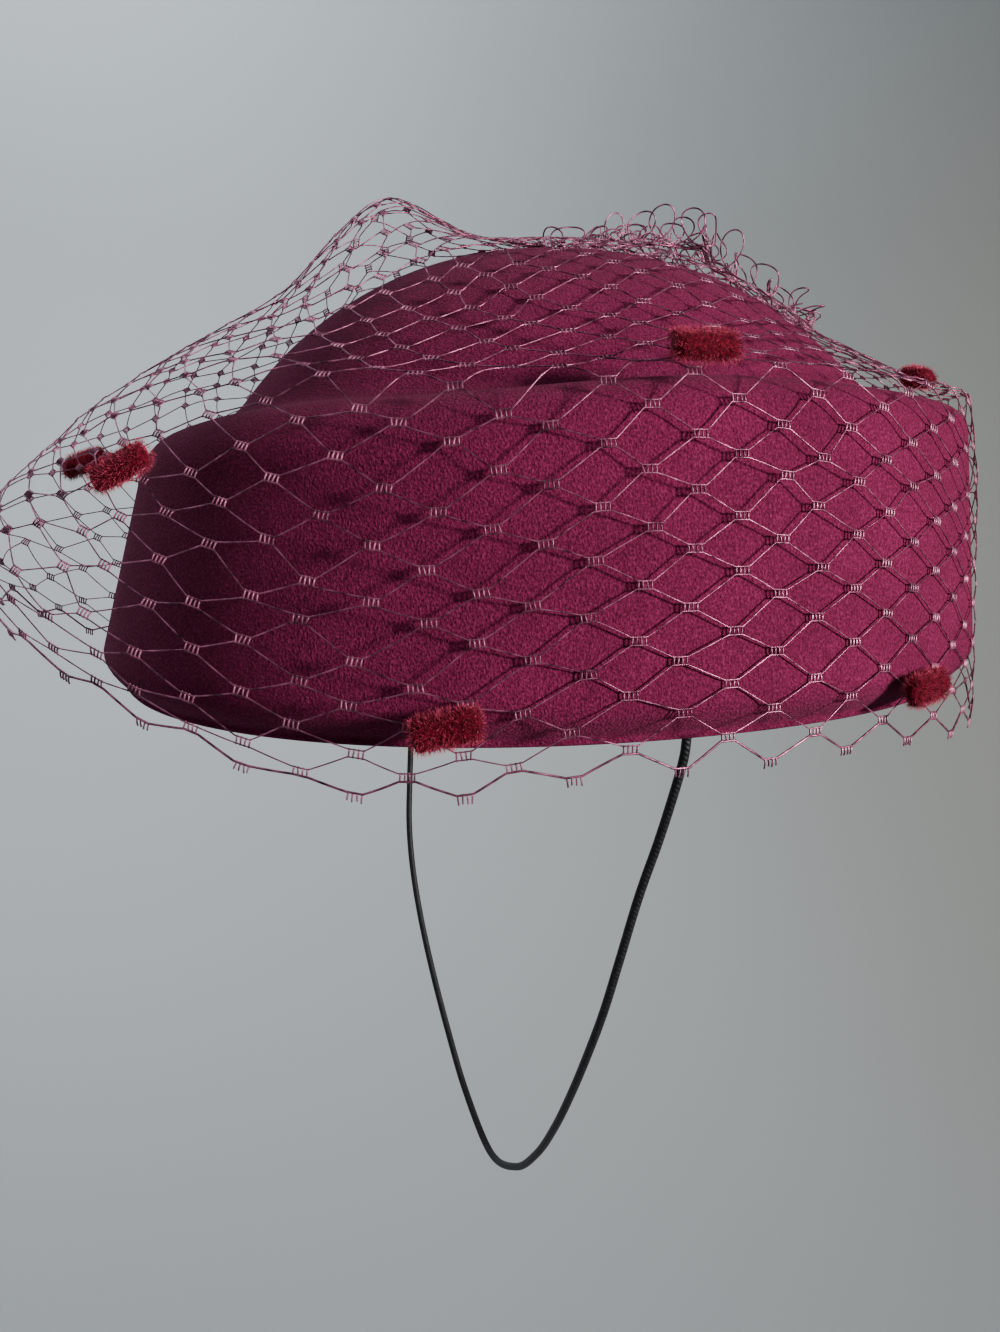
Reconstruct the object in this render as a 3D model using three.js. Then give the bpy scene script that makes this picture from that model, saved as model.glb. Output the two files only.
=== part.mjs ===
import * as THREE from "three";

// A pillbox hat of wool felt under a dotted net veil, with a chin elastic.
// Millimetres. The origin is the middle of the head opening, in the plane of the rim.
// +Z is up, the front of the hat faces -Y and the wearer's left is +X.

// Felt body
const band_length = 226;
const band_width = 202;
const band_height = 67;
const widest_height = 9.5;
const rim_tuck = 5.7;
const band_lean = 7;
const shoulder_round_front = 14;
const shoulder_round_back = 8;
const crown_inset = 29;
const crown_height = 40.5;
const crown_shift = 5.5;
const crown_fullness = 1.08;
const felt_wall = 2.5;
const outline_squareness = 0.03;

// Veil
const veil_wall = 1.0;
const veil_gap = 1.9;
const veil_shoulder_gap = 2.5;
const veil_hem_drop = 11;
const veil_front_reach = 28;
const veil_peak_height = 118;
const veil_front_spread = 36;
const veil_strand_share = 0.17;
const veil_cells_around = 24;
const veil_cell_rows = 5;
const veil_touch_share = 0.85;
const veil_turn = -3.5;
const gather_right = 8;
const gather_back = 48;
const gather_half_length = 41;
const gather_half_width = 10;
const gather_gap = 2.2;
const gather_row = 5;
const frill_height = 17;
const frill_lean = 3;
const frill_wave = 3;
const frill_waves = 12;

// Chenille dots
const dot_length = 14;
const dot_width = 7.5;
const dot_thickness = 5;
const dot_seat_gap = 0.3;

// Chin elastic
const elastic_diameter = 2;
const elastic_seat_gap = 0.75;
const elastic_step = 5.6;
const knot_diameter = 5;

// How finely the meshes are cut
const felt_sides = 48;
const elastic_sides = 8;
const dot_sides = 10;

const half_length = band_length / 2;
const half_width = band_width / 2;
const crown_half_length = half_length - crown_inset;
const crown_half_width = half_width - crown_inset;
const crown_sphere = (crown_half_length ** 2 + crown_height ** 2) / (2 * crown_height);
const veil_rows = veil_cell_rows + 1;
const veil_columns = 2 * veil_cells_around;

const felt_material = new THREE.MeshStandardMaterial({ color: 0x6e2446, roughness: 0.95, metalness: 0 });
const net_material = new THREE.MeshStandardMaterial({ color: 0x8a3558, roughness: 0.7, metalness: 0 });
const dot_material = new THREE.MeshStandardMaterial({ color: 0xa01838, roughness: 0.9, metalness: 0 });
const elastic_material = new THREE.MeshStandardMaterial({ color: 0x121212, roughness: 0.6, metalness: 0 });

// Angles run round the hat from the front (0) over the wearer's left (90) to the back (180).
// Lift of the shoulder line round the hat, as a share of the band's height.
const shoulder_lifts = [
  { angle: 0, lift: -0.07 },
  { angle: 45, lift: -0.02 },
  { angle: 90, lift: 0.045 },
  { angle: 135, lift: 0.012 },
  { angle: 180, lift: 0.0 },
  { angle: 270, lift: 0.02 },
  { angle: 315, lift: -0.02 },
];

// Hang of the veil below the rim, as a share of its drop.
const hem_hangs = [
  { angle: 0, hang: 0.9 },
  { angle: 53, hang: 1.0 },
  { angle: 76, hang: 0.4 },
  { angle: 104, hang: 0.38 },
  { angle: 130, hang: 0.72 },
  { angle: 180, hang: 0.6 },
  { angle: 230, hang: 0.45 },
  { angle: 307, hang: 1.0 },
];

// The veil where it stands off in front, by row of the net from hem to gather: how far it reaches
// out past the band as a share of the front reach, or in over the crown as a share of the half
// length, and its height as a share of the peak's.
const front_rows = [
  { row: 0, out: 0.82, inward: 0, height: 0.19 },
  { row: 0.45, out: 1.0, inward: 0, height: 0.32 },
  { row: 1.2, out: 0.6, inward: 0, height: 0.42 },
  { row: 1.9, out: 0.18, inward: 0, height: 0.51 },
  { row: 2.2, out: 0, inward: 0.01, height: 0.56 },
  { row: 2.5, out: 0, inward: 0.15, height: 0.65 },
  { row: 2.9, out: 0, inward: 0.42, height: 0.8 },
  { row: 3.2, out: 0, inward: 0.52, height: 0.91 },
  { row: 3.5, out: 0, inward: 0.61, height: 0.99 },
  { row: 3.7, out: 0, inward: 0.67, height: 1.0 },
  { row: 4.1, out: 0, inward: 0.82, height: 0.94 },
  { row: 4.4, out: 0, inward: 0.92, height: 0.93 },
];

// The veil where it lies on the band: height of each row as a share of the band's height.
const band_rows = [
  { row: 1, height: 0.26 },
  { row: 2, height: 0.74 },
  { row: 2.5, height: 1.0 },
];

// Place of each dot on the net, in half cells round the hat and rows up it, and its turn in degrees.
const dots = [
  { name: "front_left", column: 3.75, row: 1.75, turn: 30 },
  { name: "hem_left", column: 8.5, row: 0.5, turn: 12 },
  { name: "crown_left", column: 11.5, row: 2.5, turn: 0 },
  { name: "shoulder_back_left", column: 18.75, row: 3.25, turn: 15 },
  { name: "hem_back_left", column: 15.5, row: 0.5, turn: 5 },
  { name: "hem_back_right", column: 28.5, row: 0.5, turn: -10 },
  { name: "shoulder_back_right", column: 30.5, row: 2.5, turn: 12 },
  { name: "hem_right", column: 36.5, row: 1.5, turn: 8 },
  { name: "crown_right", column: 38.5, row: 2.5, turn: -5 },
  { name: "hem_front_right", column: 42.5, row: 0.5, turn: -8 },
  { name: "front_right", column: 45.75, row: 1.75, turn: -18 },
];

// Route of the elastic from the left knot down to the middle of the chin. The right half mirrors it.
const elastic_route = [
  [94.0, -7, 6.6],
  [92.0, -7, 3.6],
  [90.4, -7.1, 0.2],
  [89.8, -7.4, -5],
  [88, -8.2, -12.2],
  [84, -9.3, -24],
  [80, -11.5, -37.5],
  [76, -13.6, -53],
  [72, -15.3, -67],
  [66, -16.2, -80.5],
  [58, -16.3, -94.6],
  [48, -15.8, -109.3],
  [35.5, -15, -124.5],
  [20, -14.4, -138.5],
  [0, -14, -147],
];

const radians = THREE.MathUtils.degToRad;

// Value of a table's column at an angle, eased between its rows all the way round.
function roundTable(table, column, angle) {
  const turn = ((angle % 360) + 360) % 360;
  for (let i = 0; i < table.length; i += 1) {
    const from = table[i];
    const to = table[(i + 1) % table.length];
    const end = i + 1 < table.length ? to.angle : 360;
    if (turn <= end) {
      const share = (turn - from.angle) / (end - from.angle);
      return THREE.MathUtils.lerp(from[column], to[column], THREE.MathUtils.smoothstep(share, 0, 1));
    }
  }
  return table[0][column];
}

// Value of a table's column at a row, straight between its rows.
function rowTable(table, column, row) {
  for (let i = 1; i < table.length; i += 1) {
    if (row <= table[i].row) {
      const share = (row - table[i - 1].row) / (table[i].row - table[i - 1].row);
      return THREE.MathUtils.lerp(table[i - 1][column], table[i][column], share);
    }
  }
  return table[table.length - 1][column];
}

// Point on an oval, slightly squarer than an ellipse.
function ovalPoint(angle, along, across, shift, height) {
  const turn = radians(angle);
  const bulge = 1 + outline_squareness * Math.sin(2 * turn) ** 2;
  return new THREE.Vector3(
    across * bulge * Math.sin(turn),
    shift - along * bulge * Math.cos(turn),
    height,
  );
}

// Height of the crown's dome where its ring is this share of the crown's half length: a sphere's
// cap, a little fuller towards its edge.
function domeHeight(share) {
  const reach = share ** crown_fullness * crown_half_length;
  return band_height + crown_height - crown_sphere + Math.sqrt(crown_sphere ** 2 - reach ** 2);
}

function shoulderRound(angle) {
  const back = (1 - Math.cos(radians(angle))) / 2;
  return THREE.MathUtils.lerp(shoulder_round_front, shoulder_round_back, back);
}

// Outer section of the felt at one angle, from the rim up to just short of the crown's top.
function feltSection(angle) {
  const rounding = shoulderRound(angle);
  const lift = roundTable(shoulder_lifts, "lift", angle) * band_height;
  const wall_top = band_height - rounding;
  const rows = [];
  const addRow = (inset, height, lifted) => {
    rows.push({
      along: half_length - inset,
      across: half_width - inset,
      height: height + lift * lifted,
    });
  };
  addRow(rim_tuck, felt_wall / 2, 0);
  addRow(rim_tuck * 0.4, widest_height * 0.45, 0);
  addRow(0, widest_height, 0);
  for (const share of [0.35, 0.7, 1]) {
    addRow(band_lean * share, THREE.MathUtils.lerp(widest_height, wall_top, share), share);
  }
  for (const bend of [20, 40, 60, 80]) {
    const inset = band_lean + rounding * (1 - Math.cos(radians(bend)));
    addRow(inset, wall_top + rounding * Math.sin(radians(bend)), 1);
  }
  addRow(crown_inset, band_height, 0.5);
  for (const share of [0.93, 0.82, 0.68, 0.52, 0.35, 0.17]) {
    rows.push({
      along: crown_half_length * share,
      across: crown_half_width * share,
      height: domeHeight(share) + lift * 0.5 * share ** 4,
    });
  }
  return rows;
}

// The same section moved in by the felt's thickness, square to the outer one.
function innerSection(rows) {
  const top = { along: 0, across: 0, height: domeHeight(0) };
  return rows.map((row, i) => {
    const below = rows[Math.max(i - 1, 0)];
    const above = i + 1 < rows.length ? rows[i + 1] : top;
    const run = above.along - below.along;
    const rise = above.height - below.height;
    const length = Math.hypot(run, rise);
    return {
      along: row.along - felt_wall * rise / length,
      across: row.across - felt_wall * rise / length,
      height: row.height + felt_wall * run / length,
    };
  });
}

function sectionShift(height) {
  return crown_shift * Math.min(Math.max(height / band_height, 0), 1);
}

// Closed mesh from a list of points and of triangles.
function meshFrom(name, points, faces, material) {
  const geometry = new THREE.BufferGeometry();
  geometry.setAttribute("position", new THREE.Float32BufferAttribute(points.flatMap((p) => p.toArray()), 3));
  geometry.setIndex(faces.flat());
  geometry.computeVertexNormals();
  const mesh = new THREE.Mesh(geometry, material);
  mesh.name = name;
  return mesh;
}

function feltBody() {
  const rings = [];
  const section_rows = feltSection(0).length;
  for (let r = 0; r < 2 * section_rows + 1; r += 1) {
    rings.push([]);
  }
  for (let side = 0; side < felt_sides; side += 1) {
    const angle = (360 * side) / felt_sides;
    const outer = feltSection(angle);
    const inner = innerSection(outer);
    const edge = {
      along: (outer[0].along + inner[0].along) / 2,
      across: (outer[0].across + inner[0].across) / 2,
      height: 0,
    };
    const loop = [...outer.slice().reverse(), edge, ...inner];
    loop.forEach((row, r) => {
      rings[r].push(ovalPoint(angle, row.along, row.across, sectionShift(row.height), row.height));
    });
  }
  const points = rings.flat();
  const faces = [];
  for (let r = 0; r + 1 < rings.length; r += 1) {
    for (let side = 0; side < felt_sides; side += 1) {
      const next = (side + 1) % felt_sides;
      const a = r * felt_sides + side;
      const b = r * felt_sides + next;
      const c = a + felt_sides;
      const d = b + felt_sides;
      faces.push([a, c, b], [b, c, d]);
    }
  }
  const top = points.push(new THREE.Vector3(0, crown_shift, domeHeight(0))) - 1;
  const under = points.push(new THREE.Vector3(0, crown_shift, domeHeight(0) - felt_wall)) - 1;
  const last = (rings.length - 1) * felt_sides;
  for (let side = 0; side < felt_sides; side += 1) {
    const next = (side + 1) % felt_sides;
    faces.push([top, side, next], [under, last + next, last + side]);
  }
  return meshFrom("felt_body", points, faces, felt_material);
}

// Height of a net drawn tight over shoulder and crown, above any point of the hat's top.
function tightHeight(x, y) {
  const share = Math.hypot(x / crown_half_width, (y - crown_shift) / crown_half_length);
  if (share <= veil_touch_share) {
    return domeHeight(share);
  }
  const edge_share = (half_length - band_lean - shoulder_round_back / 2) / crown_half_length;
  const slope = (domeHeight(veil_touch_share) - band_height) / (edge_share - veil_touch_share);
  return Math.max(band_height, domeHeight(veil_touch_share) - slope * (share - veil_touch_share));
}

// Share of the front stand-off at an angle: one at the front, fading to both sides.
function frontShare(angle) {
  const turn = ((angle + 180) % 360 + 360) % 360 - 180;
  return Math.exp(-((turn / veil_front_spread) ** 2));
}

// Point of the gather, a long narrow ring on the crown, that the net's strip at this angle runs to.
function gatherPoint(angle) {
  const forward = Math.cos(radians(angle));
  const x = gather_half_width * Math.sin(radians(angle)) - gather_right;
  const y = gather_back - gather_half_length * (1.5 * forward - 0.5 * forward ** 3);
  return new THREE.Vector3(x, y, tightHeight(x, y) + gather_gap);
}

// Inner face of the veil at an angle and a row, where it lies on the band and crown.
function lyingVeil(angle, row) {
  const lift = roundTable(shoulder_lifts, "lift", angle) * band_height;
  const shoulder_row = band_rows[band_rows.length - 1].row;
  if (row <= shoulder_row) {
    const hem = { row: 0, height: -roundTable(hem_hangs, "hang", angle) * veil_hem_drop / band_height };
    const share = rowTable([hem, ...band_rows], "height", row);
    const corner = Math.max(0, row + 0.5 - shoulder_row) / 0.5;
    const height = share * band_height + (lift + veil_shoulder_gap * corner) * Math.max(share, 0);
    const rounded = corner * shoulderRound(angle) * 0.25;
    const inset = band_lean * THREE.MathUtils.clamp(share, 0, 1) + rounded - veil_gap;
    return ovalPoint(angle, half_length - inset, half_width - inset, sectionShift(height), height);
  }
  const start = lyingVeil(angle, shoulder_row);
  const end = gatherPoint(angle);
  const share = Math.min((row - shoulder_row) / (gather_row - shoulder_row), 1);
  const point = start.clone().lerp(end, share);
  const rise = tightHeight(point.x, point.y) + lift * (1 - share) ** 2;
  const start_gap = start.z - tightHeight(start.x, start.y) - lift;
  point.z = rise + THREE.MathUtils.lerp(Math.max(start_gap, veil_gap), gather_gap, share ** 3);
  return point;
}

// Inner face of the veil at an angle and a row, where it stands off in front.
function standingVeil(angle, row) {
  const last_row = front_rows[front_rows.length - 1].row;
  const held = Math.min(row, last_row);
  const reach = rowTable(front_rows, "out", held) * veil_front_reach;
  const inward = rowTable(front_rows, "inward", held) * half_length;
  const height = rowTable(front_rows, "height", held) * veil_peak_height;
  const along = half_length + reach - inward;
  const across = along * half_width / half_length;
  const point = ovalPoint(angle, along, across, 0, height);
  if (row > last_row) {
    point.lerp(gatherPoint(angle), Math.min((row - last_row) / (gather_row - last_row), 1));
  }
  return point;
}

// The frill that stands up past the gather, in waves that are flat at the ring's ends and low in front.
function frillOffset(angle, row) {
  const turn = radians(angle);
  const behind = THREE.MathUtils.smoothstep(-Math.cos(turn), -0.75, 0.1);
  const grown = Math.max(row - gather_row, 0) * THREE.MathUtils.lerp(0.4, 1, behind);
  const reach = grown * (frill_lean + frill_wave * Math.sin(turn) ** 2 * Math.cos(frill_waves * turn));
  return new THREE.Vector3(reach * Math.sin(turn), -reach * Math.cos(turn), grown * frill_height);
}

function veilPoint(column, row) {
  const angle = (360 * column) / veil_columns + veil_turn;
  const point = lyingVeil(angle, row).lerp(standingVeil(angle, row), frontShare(angle));
  return point.add(frillOffset(angle, row));
}

// Outward direction of the veil at a place on it.
function veilOutward(column, row) {
  const step = 0.25;
  const low = Math.max(row - step, 0);
  const high = Math.min(row + step, veil_rows);
  const round = veilPoint(column + step, row).sub(veilPoint(column - step, row));
  const up = veilPoint(column, high).sub(veilPoint(column, low));
  return round.cross(up).normalize();
}

// The veil as a net of leaning square gaps: each gap's frame is eight flat pieces on both faces,
// split from the middle of a side to the open corner so that no piece cuts across the shoulder.
function veilNet() {
  const points = [];
  const faces = [];
  const known = new Map();
  const corner = (column, row, outer) => {
    const turned = ((column % veil_columns) + veil_columns) % veil_columns;
    const key = `${turned.toFixed(4)} ${row.toFixed(4)} ${outer}`;
    if (!known.has(key)) {
      const point = veilPoint(turned, row);
      if (outer) {
        point.addScaledVector(veilOutward(turned, row), veil_wall);
      }
      known.set(key, points.push(point) - 1);
    }
    return known.get(key);
  };
  const addQuad = (a, b, c, d) => faces.push([a, b, c], [a, c, d]);
  const addTurned = (turned, a, b, c, d) => (turned ? addQuad(b, c, d, a) : addQuad(a, b, c, d));
  const frame = [[0, -1], [0.5, -0.5], [1, 0], [0.5, 0.5], [0, 1], [-0.5, 0.5], [-1, 0], [-0.5, -0.5]];
  const open = 1 - 2 * veil_strand_share;
  for (let row = 1; row < veil_rows; row += 1) {
    for (let cell = 0; cell < veil_cells_around; cell += 1) {
      const column = 2 * cell + ((row + 1) % 2);
      frame.forEach((here, i) => {
        const next = frame[(i + 1) % frame.length];
        const at = (place, scale, outer) => corner(column + place[0] * scale, row + place[1] * scale, outer);
        const even = i % 2 === 0;
        addTurned(even, at(here, 1, true), at(next, 1, true), at(next, open, true), at(here, open, true));
        addTurned(!even, at(here, open, false), at(next, open, false), at(next, 1, false), at(here, 1, false));
        addQuad(at(here, open, true), at(next, open, true), at(next, open, false), at(here, open, false));
        const on_hem = row === 1 && here[1] + next[1] < 0;
        const on_gather = row === veil_rows - 1 && here[1] + next[1] > 0;
        if (on_hem || on_gather) {
          addQuad(at(here, 1, false), at(next, 1, false), at(next, 1, true), at(here, 1, true));
        }
      });
    }
  }
  return meshFrom("veil_net", points, faces, net_material);
}

// A dot: a short blunt roll of chenille, flattened, lying on a strand of the net.
function veilDot(dot) {
  const half = dot_length / 2;
  const round = dot_width / 2;
  const blunt = dot_width / 8;
  const profile = [
    new THREE.Vector2(0, -half),
    new THREE.Vector2(round - blunt, -half),
    new THREE.Vector2(round, blunt - half),
    new THREE.Vector2(round, half - blunt),
    new THREE.Vector2(round - blunt, half),
    new THREE.Vector2(0, half),
  ];
  const geometry = new THREE.LatheGeometry(profile, dot_sides);
  geometry.scale(1, 1, dot_thickness / dot_width);
  const mesh = new THREE.Mesh(geometry, dot_material);
  mesh.name = `veil_dot_${dot.name}`;
  const outward = veilOutward(dot.column, dot.row);
  const level = new THREE.Vector3(0, 0, 1).cross(outward).normalize();
  const length_way = level.applyAxisAngle(outward, radians(dot.turn));
  const width_way = outward.clone().cross(length_way);
  const turned = new THREE.Matrix4().makeBasis(width_way.negate(), length_way, outward);
  mesh.quaternion.setFromRotationMatrix(turned);
  const seat = veil_wall + dot_seat_gap + dot_thickness / 2;
  mesh.position.copy(veilPoint(dot.column, dot.row)).addScaledVector(outward, seat);
  return mesh;
}

function chinElastic() {
  const left = elastic_route.map((point) => new THREE.Vector3(...point));
  const right = left.slice(0, -1).reverse().map((point) => new THREE.Vector3(-point.x, point.y, point.z));
  const route = new THREE.CatmullRomCurve3([...left, ...right]);
  const section = new THREE.Shape();
  section.absarc(0, 0, elastic_diameter / 2, 0, 2 * Math.PI);
  const geometry = new THREE.ExtrudeGeometry(section, {
    extrudePath: route,
    steps: Math.round(route.getLength() / elastic_step),
    curveSegments: elastic_sides / 2,
    bevelEnabled: false,
  });
  const mesh = new THREE.Mesh(geometry, elastic_material);
  mesh.name = "chin_elastic";
  return mesh;
}

// A knot of the elastic, lying against the inside of the band at its widest line.
function elasticKnot(name, side) {
  const mesh = new THREE.Mesh(new THREE.SphereGeometry(knot_diameter / 2, 10, 8), elastic_material);
  const y = elastic_route[0][1];
  const wall = (half_width - felt_wall) * Math.sqrt(1 - (y / half_length) ** 2);
  mesh.name = name;
  mesh.position.set(side * (wall - elastic_seat_gap - knot_diameter / 2), y, widest_height);
  return mesh;
}

const hat = new THREE.Group();
hat.add(feltBody());
hat.add(veilNet());
for (const dot of dots) {
  hat.add(veilDot(dot));
}
hat.add(chinElastic());
hat.add(elasticKnot("elastic_knot_left", 1));
hat.add(elasticKnot("elastic_knot_right", -1));

export default hat;
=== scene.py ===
"""Dress the pillbox hat: blocked wool felt, a dotted net veil, chenille dots and a chin elastic.

Everything is in metres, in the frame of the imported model: +Z up, the front of the hat faces -Y,
the wearer's left is +X, and the origin is the middle of the hat's opening, in the plane of its rim.
"""

import logging
import math
from dataclasses import dataclass, field
from enum import Enum

import bpy
import numpy as np
from mathutils import Matrix, Vector


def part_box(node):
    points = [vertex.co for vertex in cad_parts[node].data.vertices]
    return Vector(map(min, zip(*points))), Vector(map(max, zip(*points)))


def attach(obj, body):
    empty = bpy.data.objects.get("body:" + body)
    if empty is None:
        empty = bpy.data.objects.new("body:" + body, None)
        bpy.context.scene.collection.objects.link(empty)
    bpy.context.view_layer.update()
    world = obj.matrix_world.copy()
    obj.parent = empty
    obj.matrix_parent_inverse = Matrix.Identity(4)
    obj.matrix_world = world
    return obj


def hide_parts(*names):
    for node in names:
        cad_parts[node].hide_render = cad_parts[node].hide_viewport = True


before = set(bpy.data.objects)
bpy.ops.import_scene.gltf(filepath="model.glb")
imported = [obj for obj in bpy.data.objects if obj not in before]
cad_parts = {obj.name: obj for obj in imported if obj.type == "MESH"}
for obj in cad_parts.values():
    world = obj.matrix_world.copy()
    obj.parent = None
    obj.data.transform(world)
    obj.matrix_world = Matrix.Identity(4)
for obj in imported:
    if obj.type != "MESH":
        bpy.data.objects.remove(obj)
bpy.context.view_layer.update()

LOG = logging.getLogger("pillbox_hat")
MM = 0.001
SEED = 20
Array = np.ndarray
Rgb = tuple[float, float, float]
Rgba = tuple[float, float, float, float]
Point = tuple[float, float, float]
Socket = bpy.types.NodeSocket
Material = bpy.types.Material
Piece = bpy.types.Object


class Side(Enum):
    """Side of the hat that a knot of the elastic lies on."""

    LEFT = 1
    RIGHT = -1


def smooth_step(value: Array, low: float, high: float) -> Array:
    """Ease from 0 at low to 1 at high: three times the square less twice the cube."""
    share = np.clip((np.asarray(value, float) - low) / (high - low), 0.0, 1.0)
    return share * share * (3.0 - 2.0 * share)


def unit(vectors: Array) -> Array:
    """Scale vectors along the last axis to length one."""
    return vectors / np.maximum(np.linalg.norm(vectors, axis=-1, keepdims=True), 1e-12)


def round_table(rows: tuple[tuple[float, float], ...], angle: Array) -> Array:
    """Value of a table of (angle, value) rows, eased between its rows all the way round.

    Args:
        rows: Angles in degrees from 0 up, each with its value.
        angle: Angles in degrees.

    Returns:
        The eased value at each angle.
    """
    turn = np.mod(angle, 360.0)
    value = np.zeros_like(turn)
    for i, (start, low) in enumerate(rows):
        end, high = rows[i + 1] if i + 1 < len(rows) else (360.0, rows[0][1])
        inside = (turn >= start) & (turn < end)
        value = np.where(inside, low + (high - low) * smooth_step(turn, start, end), value)
    return value


def grid_faces(rows: int, columns: int, closed_rows: bool = False, closed_columns: bool = False) -> Array:
    """Quads of a grid of points stored row by row.

    Args:
        rows: Number of rows of points.
        columns: Number of points in a row.
        closed_rows: Whether the last row joins the first.
        closed_columns: Whether each row closes on itself.

    Returns:
        Quads as an array of four point numbers each.
    """
    row = np.arange(rows if closed_rows else rows - 1)[:, None]
    column = np.arange(columns if closed_columns else columns - 1)[None, :]
    next_row = (row + 1) % rows
    next_column = (column + 1) % columns
    quads = [row * columns + column, row * columns + next_column]
    quads += [next_row * columns + next_column, next_row * columns + column]
    return np.stack(quads, -1).reshape(-1, 4)


def end_fans(rings: int, sides: int) -> list[Array]:
    """Triangles that close a tube at both ends, with the two end points stored after its rings.

    Args:
        rings: Number of rings of the tube.
        sides: Number of points in a ring.

    Returns:
        Triangles of the first end and of the last.
    """
    around = np.arange(sides)
    following = (around + 1) % sides
    tip = rings * sides
    last = tip - sides
    start = np.stack([np.full(sides, tip), following, around], -1)
    end = np.stack([np.full(sides, tip + 1), last + around, last + following], -1)
    return [start, end]


def repeated(faces: Array, count: int, size: int) -> Array:
    """Faces of many like shapes: the first one's point numbers plus a whole number of sizes.

    Args:
        faces: Faces of the first shape.
        count: Number of shapes.
        size: Number of points of one shape.

    Returns:
        Faces of all the shapes.
    """
    offset = np.arange(count)[:, None, None] * size
    return (faces[None] + offset).reshape(-1, faces.shape[1])


def new_piece(name: str, points: Array, faces: list[Array], material: Material) -> Piece:
    """Make a smooth mesh object at the origin.

    Args:
        name: Name of the piece.
        points: Points in metres, one row each.
        faces: Arrays of faces, each array with one number of corners.
        material: Finish of the piece.

    Returns:
        The new object, linked into the scene.
    """
    mesh = bpy.data.meshes.new(name)
    corners = [face for block in faces for face in block.tolist()]
    mesh.from_pydata(points.reshape(-1, 3).tolist(), [], corners)
    mesh.polygons.foreach_set("use_smooth", np.ones(len(mesh.polygons), bool))
    mesh.materials.append(material)
    mesh.update()
    piece = bpy.data.objects.new(name, mesh)
    bpy.context.scene.collection.objects.link(piece)
    return piece


def tube_points(path: Array, outward: Array, radius: Array, sides: int, closed: bool) -> Array:
    """Carry a round section along paths: centre plus radius times outward and sideways by angle.

    Args:
        path: Centre lines, shape (..., steps, 3).
        outward: Directions square to the lines, same shape.
        radius: Radius at each step, shape (..., steps) or one value.
        sides: Number of sides of the section.
        closed: Whether each line closes on itself.

    Returns:
        Points of shape (..., steps, sides, 3).
    """
    if closed:
        along = np.roll(path, -1, axis=-2) - np.roll(path, 1, axis=-2)
    else:
        along = np.gradient(path, axis=-2)
    along = unit(along)
    lifted = unit(outward - (outward * along).sum(-1, keepdims=True) * along)
    sideways = np.cross(along, lifted)
    turn = 2 * np.pi * np.arange(sides) / sides
    ring = lifted[..., None, :] * np.cos(turn)[:, None] + sideways[..., None, :] * np.sin(turn)[:, None]
    return path[..., None, :] + np.asarray(radius)[..., None, None] * ring


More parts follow.
